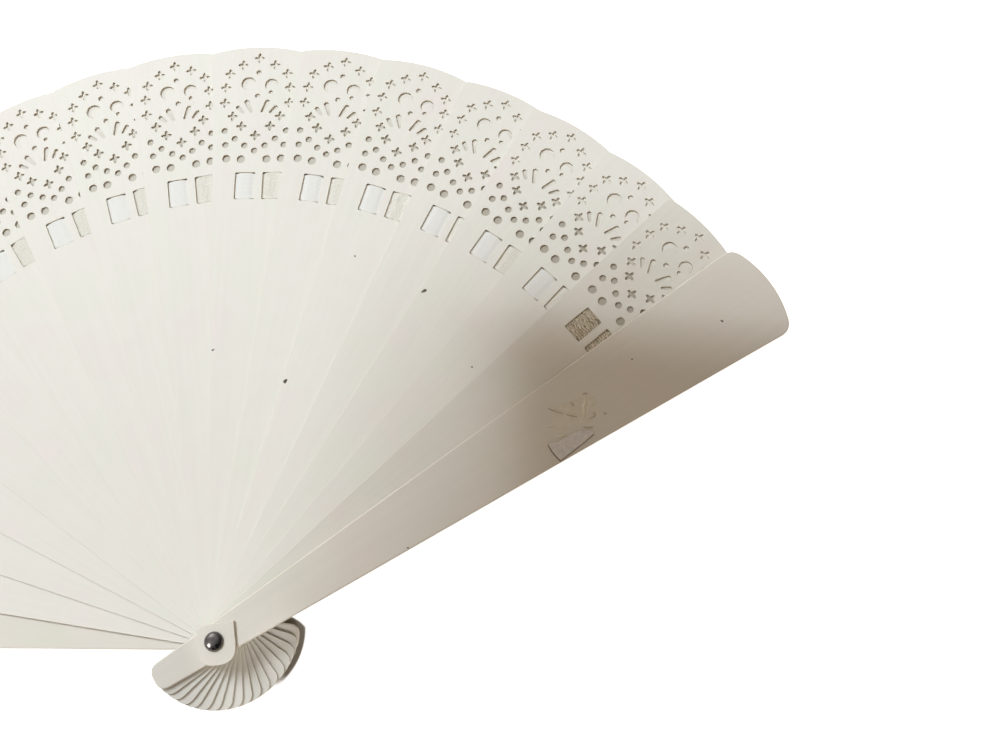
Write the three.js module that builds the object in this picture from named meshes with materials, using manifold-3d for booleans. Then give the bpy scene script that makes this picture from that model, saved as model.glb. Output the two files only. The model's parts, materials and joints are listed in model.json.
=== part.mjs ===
// Folding fan of sixteen pierced celluloid sticks between two plain guards,
// threaded on a white ribbon and turning on one steel rivet.
//
// Frame: millimetres, +Z up. The fan lies open on its back. The rivet stands on
// Z at x = y = 0 with its flat rear face at z = 0, and the two guards lie evenly
// on both sides of +Y. Every blade has its own frame: the rivet at its origin, its
// length along +Y, its right side, as seen from the front, along +X.

import * as THREE from 'three';
import { mergeVertices } from 'three/addons/utils/BufferGeometryUtils.js';
import Module from 'manifold-3d';

const wasm = await Module();
wasm.setup();

// Fan layout: how far each blade is turned from the one below it, in degrees,
// as a hand left them, from the first stick to the front guard
const BLADE_STEPS = [
  8.4, 8.65, 8.5, 8.7, 9.1, 8.7, 8.7, 8.4, 8.25,
  8.95, 9.05, 8.3, 9.05, 7.5, 8.55, 7.6, 7.35,
];
const LAYER_GAP = 0.3;
const SEAT_GAP = 0.1;

// Blades: all lengths run from the rivet's centre
const PIVOT_WIDTH = 8.8;
const TAIL_LENGTH = 18.2;
const TAIL_ROUND = 2.8;
const STICK_THICKNESS = 0.4;
const STICK_LENGTH = 174;
const STICK_TIP_WIDTH = 29.2;
const STICK_TIP_RISE = 2;
const STICK_TIP_ROUND = 1.6;
const GUARD_THICKNESS = 1;
const GUARD_LENGTH = 177.4;
const GUARD_TIP_WIDTH = 28.6;
const GUARD_TIP_RISE = 3.4;
const GUARD_TIP_ROUND = 3.2;

// Rivet, its rear burr and the two celluloid washer plates
const SHANK_DIAMETER = 2.4;
const SHANK_CLEARANCE = 0.15;
const HEAD_DIAMETER = 5;
const HEAD_HEIGHT = 1.5;
const BURR_DIAMETER = 5;
const BURR_THICKNESS = 0.5;
const ROUND_SIDES = 12;
const PLATE_THICKNESS = 0.7;
const PLATE_WIDTH = 9.7;
const PLATE_SHIFT = 0.5;
const PLATE_ABOVE_RIVET = 4.4;
const PLATE_BELOW_RIVET = 6;
const PLATE_END_ROUND = 4.4;
const PLATE_CHIP_WIDTH = 2.6;
const PLATE_CHIP_HEIGHT = 0.9;
const PLATE_ANGLE = -6;

// Ribbon and the pair of windows that it is threaded through in each stick,
// with their height measured down from the stick's tip
const WINDOW_WIDTH = 5.9;
const WINDOW_HEIGHT = 8.5;
const WINDOW_BAR = 2.3;
const WINDOW_SHIFT = 1.85;
const WINDOW_BELOW_TIP = 45.7;
const RIBBON_WIDTH = 7.8;
const RIBBON_THICKNESS = 0.14;
const RIBBON_CLEARANCE = 0.08;
const RIBBON_SIDE_GAP = 0.4;
const RIBBON_RISE_RUN = 1.6;
const RIBBON_LEFT_MARGIN = 0.6;
const RIBBON_GLUED_END = 6;

// Pierced ornament: half of it as [right of the axis, below the stick's tip]
const CROSS_SIZE = 1.35;
const CROSS_PLACES = [
  [0, 3.8], [4.9, 6.1], [8.8, 9.1], [9.8, 13.7],
  [9.8, 18.8], [7.2, 23.2], [4.35, 26.5], [0, 29.5],
];
const LARGE_DOT_RADIUS = 1.2;
const LARGE_DOT_PLACES = [[3.85, 37.2], [8.2, 37]];
const SMALL_DOT_RADIUS = 0.95;
const SMALL_DOT_PLACES = [[0, 34.5], [3.05, 32.8], [6.1, 30.6], [9.3, 28], [8.8, 32.6]];
const AXIS_DOT_RADIUS = 0.75;
const AXIS_DOT_PLACES = [[0, 8.7], [0, 16.5]];
const CRESCENT_LEFT = { centre: [-2.95, 12.4], radius: 2.2, bite: [0.95, -1], biteRadius: 1.85 };
const CRESCENT_RIGHT = { centre: [4.1, 12.8], radius: 2, bite: [0.35, -0.95], biteRadius: 1.75 };
const CRESCENT_DOT = { centre: [4, 15.3], radius: 0.6 };
const DROP_HEAD = [3.3, 18.2];
const DROP_POINT = [1.5, 21.7];
const DROP_HALF_WIDTH = 0.75;
const LEAF_HEAD = [6, 20.2];
const LEAF_POINT = [3.9, 22];
const LEAF_HALF_WIDTH = 0.6;

// Layers from the rear face upwards
const REAR_PLATE_Z = BURR_THICKNESS + SEAT_GAP;
const REAR_GUARD_Z = REAR_PLATE_Z + PLATE_THICKNESS + SEAT_GAP;
const REAR_RIBBON_Z = REAR_GUARD_Z + GUARD_THICKNESS + RIBBON_CLEARANCE;
const FIRST_STICK_Z = REAR_RIBBON_Z + RIBBON_THICKNESS + LAYER_GAP;
const STICK_COUNT = BLADE_STEPS.length - 1;
const STICK_PITCH = STICK_THICKNESS + LAYER_GAP;
const FRONT_GUARD_Z = FIRST_STICK_Z + STICK_COUNT * STICK_PITCH;
const FRONT_PLATE_Z = FRONT_GUARD_Z + GUARD_THICKNESS + LAYER_GAP;
const HEAD_Z = FRONT_PLATE_Z + PLATE_THICKNESS + SEAT_GAP;
const HALF_SPREAD = BLADE_STEPS.reduce((sum, step) => sum + step) / 2;

const WINDOW_CENTRE = STICK_LENGTH - WINDOW_BELOW_TIP;
const SHANK_RADIUS = SHANK_DIAMETER / 2;
const BORE_RADIUS = (SHANK_RADIUS + SHANK_CLEARANCE) / Math.cos(Math.PI / ROUND_SIDES);

const celluloid = new THREE.MeshStandardMaterial({ color: '#e4dccb', roughness: 0.42, metalness: 0 });
const agedCelluloid = new THREE.MeshStandardMaterial({ color: '#d9cfba', roughness: 0.38, metalness: 0 });
const silk = new THREE.MeshStandardMaterial({ color: '#f1efe8', roughness: 0.6, metalness: 0 });
const steel = new THREE.MeshStandardMaterial({ color: '#4a4746', roughness: 0.28, metalness: 1 });

// Points on a round corner between two straight sides
function cornerPoints(before, corner, after, radius, steps) {
  const start = corner.clone().lerp(before, Math.min(1, radius / corner.distanceTo(before)));
  const end = corner.clone().lerp(after, Math.min(1, radius / corner.distanceTo(after)));
  return new THREE.QuadraticBezierCurve(start, corner, end).getPoints(steps);
}

// Points of a regular polygon, turned so that a flat side faces along +X
function roundPoints([x, y], radius, sides) {
  const points = [];
  for (let i = 0; i < sides; i++) {
    const angle = ((i + 0.5) / sides) * 2 * Math.PI;
    points.push(new THREE.Vector2(x + radius * Math.cos(angle), y + radius * Math.sin(angle)));
  }
  return points;
}

// Outline of a blade: tapered sides, a round-cornered tail and a bowed tip
function bladeOutline({ length, tipWidth, tipRise, tipRound }) {
  const halfWidth = (y) => PIVOT_WIDTH / 2 + ((tipWidth - PIVOT_WIDTH) / 2) * (y / length);
  const shoulder = length - tipRise;
  const tail = new THREE.Vector2(halfWidth(-TAIL_LENGTH), -TAIL_LENGTH);
  const tailMiddle = new THREE.Vector2(0, -TAIL_LENGTH);
  const corner = new THREE.Vector2(halfWidth(shoulder), shoulder);
  const bowRadius = (corner.x ** 2 + tipRise ** 2) / (2 * tipRise);
  const bowAt = (x) => new THREE.Vector2(x, length - bowRadius + Math.sqrt(bowRadius ** 2 - x ** 2));
  const right = [
    ...cornerPoints(tailMiddle, tail, corner, TAIL_ROUND, 3),
    ...cornerPoints(tail, corner, bowAt(corner.x - tipRound), tipRound, 2),
    bowAt(corner.x * 0.6),
    bowAt(corner.x * 0.3),
  ];
  const left = right.map((point) => new THREE.Vector2(-point.x, point.y)).reverse();
  return [...right, bowAt(0), ...left];
}

// A place measured down from the stick's tip, in the stick's own frame
function fromTip([x, below]) {
  return [x, STICK_LENGTH - below];
}

// A crescent: an outer arc closed by a second arc that bites into it
function crescentPoints({ centre, radius, bite, biteRadius }) {
  const [middleX, middleY] = fromTip(centre);
  const reach = Math.hypot(...bite);
  const facing = Math.atan2(bite[1], bite[0]);
  const outerHalf = Math.acos((reach ** 2 + radius ** 2 - biteRadius ** 2) / (2 * reach * radius));
  const innerHalf = Math.acos((radius ** 2 - reach ** 2 - biteRadius ** 2) / (2 * reach * biteRadius));
  const points = [];
  for (let i = 0; i <= 4; i++) {
    const angle = facing + outerHalf + (i / 4) * 2 * (Math.PI - outerHalf);
    points.push(new THREE.Vector2(middleX + radius * Math.cos(angle), middleY + radius * Math.sin(angle)));
  }
  for (let i = 1; i <= 2; i++) {
    const angle = facing - innerHalf - (i / 3) * 2 * (Math.PI - innerHalf);
    const x = middleX + bite[0] + biteRadius * Math.cos(angle);
    const y = middleY + bite[1] + biteRadius * Math.sin(angle);
    points.push(new THREE.Vector2(x, y));
  }
  return points;
}

// A drop: a kite that is widest near its head
function dropPoints(head, point, halfWidth) {
  const from = new THREE.Vector2(...fromTip(head));
  const to = new THREE.Vector2(...fromTip(point));
  const along = to.clone().sub(from).normalize();
  const across = new THREE.Vector2(-along.y, along.x).multiplyScalar(halfWidth);
  const tip = from.clone().addScaledVector(along, -halfWidth);
  return [tip, from.clone().add(across), to, from.clone().sub(across)];
}

// Each place off the axis is punched on both sides of it
function mirrored(places) {
  return places.map(fromTip).flatMap(([x, y]) => (x === 0 ? [[x, y]] : [[x, y], [-x, y]]));
}

function windowPoints(side) {
  const centre = WINDOW_SHIFT + (side * (WINDOW_BAR + WINDOW_WIDTH)) / 2;
  const corners = [[-1, -1], [1, -1], [1, 1], [-1, 1]];
  return corners.map(
    ([x, y]) => new THREE.Vector2(centre + (x * WINDOW_WIDTH) / 2, WINDOW_CENTRE + (y * WINDOW_HEIGHT) / 2),
  );
}

function ornamentHoles() {
  return [
    ...mirrored(CROSS_PLACES).map(([x, y]) => [
      new THREE.Vector2(x + CROSS_SIZE, y),
      new THREE.Vector2(x, y + CROSS_SIZE),
      new THREE.Vector2(x - CROSS_SIZE, y),
      new THREE.Vector2(x, y - CROSS_SIZE),
    ]),
    ...mirrored(LARGE_DOT_PLACES).map((place) => roundPoints(place, LARGE_DOT_RADIUS, 6)),
    ...mirrored(SMALL_DOT_PLACES).map((place) => roundPoints(place, SMALL_DOT_RADIUS, 4)),
    ...AXIS_DOT_PLACES.map((place) => roundPoints(fromTip(place), AXIS_DOT_RADIUS, 4)),
    roundPoints(fromTip(CRESCENT_DOT.centre), CRESCENT_DOT.radius, 4),
    crescentPoints(CRESCENT_LEFT),
    crescentPoints(CRESCENT_RIGHT),
    ...[-1, 1].flatMap((side) => [
      dropPoints([side * DROP_HEAD[0], DROP_HEAD[1]], [side * DROP_POINT[0], DROP_POINT[1]], DROP_HALF_WIDTH),
      dropPoints([side * LEAF_HEAD[0], LEAF_HEAD[1]], [side * LEAF_POINT[0], LEAF_POINT[1]], LEAF_HALF_WIDTH),
    ]),
  ];
}

// A flat outline made solid, from one height up to another
function prism(outline, low, high) {
  const geometry = new THREE.ExtrudeGeometry(new THREE.Shape(outline), { depth: high - low, bevelEnabled: false });
  geometry.translate(0, 0, low);
  return geometry;
}

function toSolid(geometry) {
  const bare = geometry.clone();
  bare.deleteAttribute('normal');
  bare.deleteAttribute('uv');
  const merged = mergeVertices(bare);
  return new wasm.Manifold(new wasm.Mesh({
    numProp: 3,
    vertProperties: new Float32Array(merged.attributes.position.array),
    triVerts: new Uint32Array(merged.index.array),
  }));
}

function toGeometry(solid) {
  const mesh = solid.getMesh();
  const geometry = new THREE.BufferGeometry();
  geometry.setAttribute('position', new THREE.BufferAttribute(mesh.vertProperties, 3));
  geometry.setIndex(new THREE.BufferAttribute(mesh.triVerts, 1));
  geometry.computeVertexNormals();
  return geometry;
}

// A flat plate with its back on z = 0 and holes punched right through it
function plateGeometry(outline, holes, thickness) {
  let solid = toSolid(prism(outline, 0, thickness));
  for (const points of holes) {
    solid = solid.subtract(toSolid(prism(points, -thickness, 2 * thickness)));
  }
  return toGeometry(solid);
}

function stickGeometry() {
  const outline = bladeOutline({
    length: STICK_LENGTH, tipWidth: STICK_TIP_WIDTH, tipRise: STICK_TIP_RISE, tipRound: STICK_TIP_ROUND,
  });
  const holes = [
    roundPoints([0, 0], BORE_RADIUS, ROUND_SIDES),
    windowPoints(-1),
    windowPoints(1),
    ...ornamentHoles(),
  ];
  return plateGeometry(outline, holes, STICK_THICKNESS);
}

function guardGeometry() {
  const outline = bladeOutline({
    length: GUARD_LENGTH, tipWidth: GUARD_TIP_WIDTH, tipRise: GUARD_TIP_RISE, tipRound: GUARD_TIP_ROUND,
  });
  return plateGeometry(outline, [roundPoints([0, 0], BORE_RADIUS, ROUND_SIDES)], GUARD_THICKNESS);
}

// A length of ribbon, given by its side view as [right of the axis, height]
function ribbonGeometry(path) {
  const lower = path.map(([x, z]) => new THREE.Vector2(x, z));
  const upper = path.map(([x, z]) => new THREE.Vector2(x, z + RIBBON_THICKNESS)).reverse();
  const geometry = new THREE.ExtrudeGeometry(new THREE.Shape([...lower, ...upper]), {
    depth: RIBBON_WIDTH, bevelEnabled: false,
  });
  geometry.rotateX(Math.PI / 2);
  geometry.translate(0, WINDOW_CENTRE + RIBBON_WIDTH / 2, 0);
  return geometry;
}

// Where a blade's back edge lies at the ribbon, left of its axis
function leftEdgeAtRibbon(tipWidth, length) {
  const y = WINDOW_CENTRE - RIBBON_WIDTH / 2;
  return -(PIVOT_WIDTH / 2 + ((tipWidth - PIVOT_WIDTH) / 2) * (y / length));
}

// Washer plate: square at the top, rounded below the rivet, one corner chipped off
function washerPlateGeometry(chipWidth, chipHeight) {
  const left = PLATE_SHIFT - PLATE_WIDTH / 2;
  const right = PLATE_SHIFT + PLATE_WIDTH / 2;
  const bottomLeft = new THREE.Vector2(left, -PLATE_BELOW_RIVET);
  const bottomRight = new THREE.Vector2(right, -PLATE_BELOW_RIVET);
  const topRight = new THREE.Vector2(right, PLATE_ABOVE_RIVET);
  const chipTop = new THREE.Vector2(left + chipWidth, PLATE_ABOVE_RIVET);
  const chipSide = new THREE.Vector2(left, PLATE_ABOVE_RIVET - chipHeight);
  const outline = [
    ...cornerPoints(chipSide, bottomLeft, bottomRight, PLATE_END_ROUND, 3),
    ...cornerPoints(bottomLeft, bottomRight, topRight, PLATE_END_ROUND, 3),
    topRight,
    chipTop,
    ...(chipHeight > 0 ? [chipSide] : []),
  ];
  return plateGeometry(outline, [roundPoints([0, 0], BORE_RADIUS, ROUND_SIDES)], PLATE_THICKNESS);
}

// Rivet turned in one piece: a plain shank under a domed head
function rivetGeometry() {
  const headRadius = HEAD_DIAMETER / 2;
  const profile = [
    new THREE.Vector2(0, 0),
    new THREE.Vector2(SHANK_RADIUS, 0),
    new THREE.Vector2(SHANK_RADIUS, HEAD_Z),
  ];
  for (let i = 0; i < 4; i++) {
    const angle = ((i / 4) * Math.PI) / 2;
    profile.push(new THREE.Vector2(headRadius * Math.cos(angle), HEAD_Z + HEAD_HEIGHT * Math.sin(angle)));
  }
  profile.push(new THREE.Vector2(0, HEAD_Z + HEAD_HEIGHT));
  const geometry = new THREE.LatheGeometry(profile, ROUND_SIDES);
  geometry.rotateX(Math.PI / 2);
  return geometry;
}

function namedMesh(name, geometry, material) {
  const mesh = new THREE.Mesh(geometry, material);
  mesh.name = name;
  return mesh;
}

function twoDigits(number) {
  return String(number).padStart(2, '0');
}

const fan = new THREE.Group();

// Rear guard at the left with the ribbon's rear end glued on its front face
const rearGuard = new THREE.Group();
rearGuard.rotation.z = THREE.MathUtils.degToRad(HALF_SPREAD);
rearGuard.add(namedMesh('rear_guard', guardGeometry(), agedCelluloid));
rearGuard.children[0].position.z = REAR_GUARD_Z;
const rearRibbonLeft = -RIBBON_GLUED_END;
const rearRibbonRight = -leftEdgeAtRibbon(GUARD_TIP_WIDTH, GUARD_LENGTH) - RIBBON_LEFT_MARGIN;
const rearRibbon = ribbonGeometry([[rearRibbonLeft, REAR_RIBBON_Z], [rearRibbonRight, REAR_RIBBON_Z]]);
rearGuard.add(namedMesh('ribbon_rear_end', rearRibbon, silk));
fan.add(rearGuard);

// Sticks, each one step further to the right and one layer higher, with its
// length of ribbon behind it and rising into its right window
const stickShape = stickGeometry();
const stickLeft = leftEdgeAtRibbon(STICK_TIP_WIDTH, STICK_LENGTH) + RIBBON_LEFT_MARGIN;
const rightWindowLeft = WINDOW_SHIFT + WINDOW_BAR / 2 + RIBBON_SIDE_GAP;
const rightWindowRight = WINDOW_SHIFT + WINDOW_BAR / 2 + WINDOW_WIDTH - RIBBON_SIDE_GAP;
const behindStick = -RIBBON_CLEARANCE - RIBBON_THICKNESS;
const insideWindow = (STICK_THICKNESS - RIBBON_THICKNESS) / 2;
const ribbonShape = ribbonGeometry([
  [stickLeft, behindStick],
  [rightWindowLeft, behindStick],
  [rightWindowLeft + RIBBON_RISE_RUN, insideWindow],
  [rightWindowRight, insideWindow],
]);
let stickAngle = HALF_SPREAD;
for (let number = 1; number <= STICK_COUNT; number++) {
  stickAngle -= BLADE_STEPS[number - 1];
  const layer = new THREE.Group();
  layer.rotation.z = THREE.MathUtils.degToRad(stickAngle);
  layer.position.z = FIRST_STICK_Z + (number - 1) * STICK_PITCH;
  layer.add(namedMesh(`stick_${twoDigits(number)}`, stickShape, celluloid));
  layer.add(namedMesh(`ribbon_${twoDigits(number)}`, ribbonShape, silk));
  fan.add(layer);
}

// Front guard on top at the right with the ribbon's front end glued behind it
const frontGuard = new THREE.Group();
frontGuard.rotation.z = THREE.MathUtils.degToRad(-HALF_SPREAD);
frontGuard.position.z = FRONT_GUARD_Z;
frontGuard.add(namedMesh('front_guard', guardGeometry(), agedCelluloid));
const frontRibbonLeft = leftEdgeAtRibbon(GUARD_TIP_WIDTH, GUARD_LENGTH) + RIBBON_LEFT_MARGIN;
const frontRibbon = ribbonGeometry([[frontRibbonLeft, behindStick], [RIBBON_GLUED_END, behindStick]]);
frontGuard.add(namedMesh('ribbon_front_end', frontRibbon, silk));
fan.add(frontGuard);

// Rivet, burr and washer plates
fan.add(namedMesh('rivet', rivetGeometry(), steel));
const burrHole = roundPoints([0, 0], BORE_RADIUS, ROUND_SIDES);
const burrShape = plateGeometry(roundPoints([0, 0], BURR_DIAMETER / 2, ROUND_SIDES), [burrHole], BURR_THICKNESS);
fan.add(namedMesh('rivet_burr', burrShape, steel));
const rearPlate = namedMesh('rear_washer_plate', washerPlateGeometry(0, 0), celluloid);
rearPlate.rotation.z = THREE.MathUtils.degToRad(PLATE_ANGLE);
rearPlate.position.z = REAR_PLATE_Z;
fan.add(rearPlate);
const frontPlate = namedMesh(
  'front_washer_plate', washerPlateGeometry(PLATE_CHIP_WIDTH, PLATE_CHIP_HEIGHT), celluloid,
);
frontPlate.rotation.z = THREE.MathUtils.degToRad(PLATE_ANGLE);
frontPlate.position.z = FRONT_PLATE_Z;
fan.add(frontPlate);

export default fan;
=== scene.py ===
import json
import math

import bpy
from mathutils import Matrix, Vector, noise
from mathutils.geometry import delaunay_2d_cdt


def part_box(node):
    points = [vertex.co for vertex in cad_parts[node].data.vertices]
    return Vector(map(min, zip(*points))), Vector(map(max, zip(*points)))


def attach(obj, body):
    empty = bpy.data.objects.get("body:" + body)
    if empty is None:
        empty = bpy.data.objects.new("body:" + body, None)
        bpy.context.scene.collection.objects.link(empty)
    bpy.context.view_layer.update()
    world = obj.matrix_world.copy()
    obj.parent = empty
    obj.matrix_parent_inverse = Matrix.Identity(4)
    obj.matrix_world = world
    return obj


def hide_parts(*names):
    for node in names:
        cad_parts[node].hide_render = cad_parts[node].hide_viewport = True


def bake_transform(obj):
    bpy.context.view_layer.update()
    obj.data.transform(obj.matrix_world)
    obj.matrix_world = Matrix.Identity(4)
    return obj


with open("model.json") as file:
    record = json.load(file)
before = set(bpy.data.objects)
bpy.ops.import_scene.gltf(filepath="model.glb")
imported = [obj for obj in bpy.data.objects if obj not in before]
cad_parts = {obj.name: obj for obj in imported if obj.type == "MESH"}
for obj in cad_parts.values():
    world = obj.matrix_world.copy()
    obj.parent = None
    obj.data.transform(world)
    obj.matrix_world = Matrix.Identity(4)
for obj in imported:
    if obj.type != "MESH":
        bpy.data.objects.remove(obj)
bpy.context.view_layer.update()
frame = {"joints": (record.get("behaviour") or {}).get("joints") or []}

# Pierced sticks: sixteen thin plates of ivory-coloured celluloid sheet. Each is blanked and pierced on
# one die, its cut edges are scraped smooth, and all of them turn on the rivet, every one a step further
# round than the one below. Lengths are in millimetres, from the rivet's centre, unless a comment says metres.
MM = 0.001
STICK_COUNT = 16
PIVOT_WIDTH = 8.8
TAIL_LENGTH = 18.2
TAIL_ROUND = 2.8
STICK_LENGTH = 174
STICK_TIP_WIDTH = 29.2
STICK_TIP_RISE = 2
STICK_TIP_ROUND = 1.6
STICK_THICKNESS = 0.4
STICK_EDGE = 0.09
BORE_RADIUS = 1.35
WINDOW_WIDTH = 5.9
WINDOW_HEIGHT = 8.5
WINDOW_BAR = 2.3
WINDOW_SHIFT = 1.85
WINDOW_CENTRE = 128.3
WINDOW_ROUND = 0.35
CROSS_ARM = 1.6
CROSS_WAIST = 0.6
CROSS_POINTS = 24
CROSS_PLACES = [(0, 170.2), (4.9, 167.9), (8.8, 164.9), (9.8, 160.3),
                (9.8, 155.2), (7.2, 150.8), (4.35, 147.5), (0, 144.5)]
LARGE_DOT_RADIUS = 1.2
LARGE_DOT_PLACES = [(3.85, 136.8), (8.2, 137)]
SMALL_DOT_RADIUS = 0.95
SMALL_DOT_PLACES = [(0, 139.5), (3.05, 141.2), (6.1, 143.4), (9.3, 146), (8.8, 141.4)]
AXIS_DOT_RADIUS = 0.75
AXIS_DOT_PLACES = [(0, 165.3), (0, 157.5)]
CRESCENT_DOT_RADIUS = 0.6
CRESCENT_DOT_PLACE = (4, 158.7)
# A crescent is its centre, its radius, the way to the middle of its bite and the bite's radius. A drop is
# its head, its point and their radii.
CRESCENTS = [((-2.95, 161.6), 2.2, (0.95, -1), 1.85), ((4.1, 161.2), 2, (0.35, -0.95), 1.75)]
DROPS = [((3.15, 155.5), (1.65, 152.4), 0.75, 0.42), ((5.7, 153.7), (4.2, 152.15), 0.6, 0.4)]
GREYED_TAIL = (-4, -9)
GRAIN_STRETCH = 40
PORE_SIZE = 0.6
EASED_SHARE = 0.3
MITRE_LIMIT = 0.4
CUT_INSIDE_LOOPS = 2
CUT_TOLERANCE = 0.00001


def linear(colour):
    """An sRGB hex colour as linear RGBA."""
    channels = [int(colour[i:i + 2], 16) / 255 for i in (1, 3, 5)]
    return tuple(c / 12.92 if c <= 0.04045 else ((c + 0.055) / 1.055) ** 2.4 for c in channels) + (1,)


def new_material(name):
    """A named material with a bare principled shader: its node tree and the shader."""
    material = bpy.data.materials.new(name)
    material.use_nodes = True
    return material, material.node_tree, material.node_tree.nodes["Principled BSDF"]


def add_node(tree, kind, inputs, **settings):
    """One node with its settings. An input is a value, or the output socket that is linked to it."""
    node = tree.nodes.new(kind)
    for name, value in settings.items():
        setattr(node, name, value)
    for name, value in inputs.items():
        if isinstance(value, bpy.types.NodeSocket):
            tree.links.new(value, node.inputs[name])
        else:
            node.inputs[name].default_value = value
    return node


def clouds(tree, place, scale, detail, distortion=0):
    """Cloudy noise between 0 and 1."""
    return add_node(tree, "ShaderNodeTexNoise", {
        "Vector": place, "Scale": scale, "Detail": detail, "Distortion": distortion}).outputs["Fac"]


def mixed(tree, share, first, second):
    """The blend of two colours by a share. A colour is a hex colour or a socket."""
    first, second = (linear(colour) if isinstance(colour, str) else colour for colour in (first, second))
    return add_node(tree, "ShaderNodeMix", {0: share, 6: first, 7: second}, data_type="RGBA").outputs[2]


def ranged(tree, value, start, end, low=0, high=1):
    """A value mapped from one span to another and held at the ends of it."""
    return add_node(tree, "ShaderNodeMapRange", {
        "Value": value, "From Min": start, "From Max": end, "To Min": low, "To Max": high}).outputs[0]


def bumped(tree, height, strength, depth, under=None):
    """A normal bumped by a height, as deep as said in millimetres, over another one if there is one."""
    inputs = {"Height": height, "Strength": strength, "Distance": depth * MM}
    if under:
        inputs["Normal"] = under
    return add_node(tree, "ShaderNodeBump", inputs).outputs[0]


def celluloid(name, ivory, blush, moss, roughness, cloud_size, grain_width, tail_tone):
    """Celluloid sheet, sliced from a pressed block and planished between warm plates. The eye gets a
    satin gloss, cloudy shifts of tint some millimetres wide, faint flow lines along the blade, and a tail
    that is darker towards its end."""
    material, tree, shader = new_material(name)
    place = add_node(tree, "ShaderNodeTexCoord", {}).outputs["Object"]
    along = add_node(tree, "ShaderNodeSeparateXYZ", {0: place}).outputs["Y"]
    tail_darkening = ranged(tree, along, GREYED_TAIL[0] * MM, GREYED_TAIL[1] * MM, 1, tail_tone)
    chance = add_node(tree, "ShaderNodeObjectInfo", {}).outputs["Random"]
    place = add_node(tree, "ShaderNodeVectorMath", {0: place, 1: chance}, operation="ADD").outputs[0]
    cloud = clouds(tree, place, 1 / (cloud_size * MM), 3)
    drawn = add_node(tree, "ShaderNodeMapping", {
        "Vector": place, "Scale": (1 / (grain_width * MM), 1 / (GRAIN_STRETCH * grain_width * MM), 1)})
    grain = clouds(tree, drawn.outputs[0], 1, 4)
    pores = clouds(tree, place, 1 / (PORE_SIZE * MM), 5)
    tint = mixed(tree, ranged(tree, cloud, 0.5, 0.75, 0, 0.7), ivory, blush)
    tint = mixed(tree, ranged(tree, cloud, 0.48, 0.28, 0, 0.6), tint, moss)
    for factor in (ranged(tree, grain, 0, 1, 0.955, 1.02), tail_darkening):
        tint = add_node(tree, "ShaderNodeVectorMath", {0: tint, 1: factor}, operation="MULTIPLY").outputs[0]
    tree.links.new(tint, shader.inputs["Base Color"])
    tree.links.new(ranged(tree, cloud, 0, 1, roughness - 0.08, roughness + 0.08), shader.inputs["Roughness"])
    relief = bumped(tree, pores, 0.3, 0.02, bumped(tree, grain, 0.25, 0.03))
    tree.links.new(relief, shader.inputs["Normal"])
    shader.inputs["IOR"].default_value = 1.5
    return material


def arc(centre, radius, start, end, steps):
    """Points on an arc, from one angle to another in degrees, both ends included."""
    turns = [math.radians(start + (end - start) * i / steps) for i in range(steps + 1)]
    return [(centre[0] + radius * math.cos(t), centre[1] + radius * math.sin(t)) for t in turns]


def round_corner(before, corner, after, radius, steps):
    """Points of a curve that rounds off the corner between two straight sides."""
    start, middle, end = Vector(before), Vector(corner), Vector(after)
    start = middle.lerp(start, min(1, radius / (middle - start).length))
    end = middle.lerp(end, min(1, radius / (middle - end).length))
    curve = []
    for i in range(steps + 1):
        t = i / steps
        curve.append(tuple(start * (1 - t) ** 2 + middle * 2 * t * (1 - t) + end * t ** 2))
    return curve


def blade_outline(length, tip_width, tip_rise, tip_round):
    """Outline of a blade: tapered sides, a round-cornered tail and a bowed tip."""
    def half_width(y):
        return PIVOT_WIDTH / 2 + (tip_width - PIVOT_WIDTH) / 2 * y / length

    shoulder = length - tip_rise
    corner = (half_width(shoulder), shoulder)
    bow = (corner[0] ** 2 + tip_rise ** 2) / (2 * tip_rise)

    def bow_at(x):
        return (x, length - bow + math.sqrt(bow ** 2 - x ** 2))

    right = round_corner((0, -TAIL_LENGTH), (half_width(-TAIL_LENGTH), -TAIL_LENGTH), corner, TAIL_ROUND, 8)
    right += round_corner(right[-1], corner, bow_at(corner[0] - tip_round), tip_round, 6)
    right += [bow_at(right[-1][0] * share) for share in (0.8, 0.6, 0.4, 0.2)]
    return right + [bow_at(0)] + [(-x, y) for x, y in reversed(right)]


def cross_hole(x, y):
    """A cross with four arms that narrow a little to round ends."""
    points = []
    for i in range(CROSS_POINTS):
        turn = math.tau * i / CROSS_POINTS
        reach = CROSS_WAIST + (CROSS_ARM - CROSS_WAIST) * math.cos(2 * turn) ** 2
        points.append((x + reach * math.cos(turn), y + reach * math.sin(turn)))
    return points


def round_hole(x, y, radius, sides):
    """A round hole as an even polygon."""
    return arc((x, y), radius, 0, 360 - 360 / sides, sides - 1)


def crescent_hole(centre, radius, bite, bite_radius):
    """A crescent: an outer arc closed by a second arc that bites into it."""
    reach = math.hypot(*bite)
    facing = math.degrees(math.atan2(bite[1], bite[0]))
    outer = math.degrees(math.acos((reach ** 2 + radius ** 2 - bite_radius ** 2) / (2 * reach * radius)))
    inner = math.degrees(math.acos((radius ** 2 - reach ** 2 - bite_radius ** 2) / (2 * reach * bite_radius)))
    bitten = (centre[0] + bite[0], centre[1] + bite[1])
    back = arc(bitten, bite_radius, facing - inner, facing - 360 + inner, 10)
    return arc(centre, radius, facing + outer, facing + 360 - outer, 14) + back[1:-1]


def drop_hole(head, point, head_radius, point_radius):
    """A drop: a round head drawn out to a narrower round end."""
    along = math.degrees(math.atan2(point[1] - head[1], point[0] - head[0]))
    tip = arc(point, point_radius, along - 80, along + 80, 5)
    return arc(head, head_radius, along + 80, along + 280, 8) + tip


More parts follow.
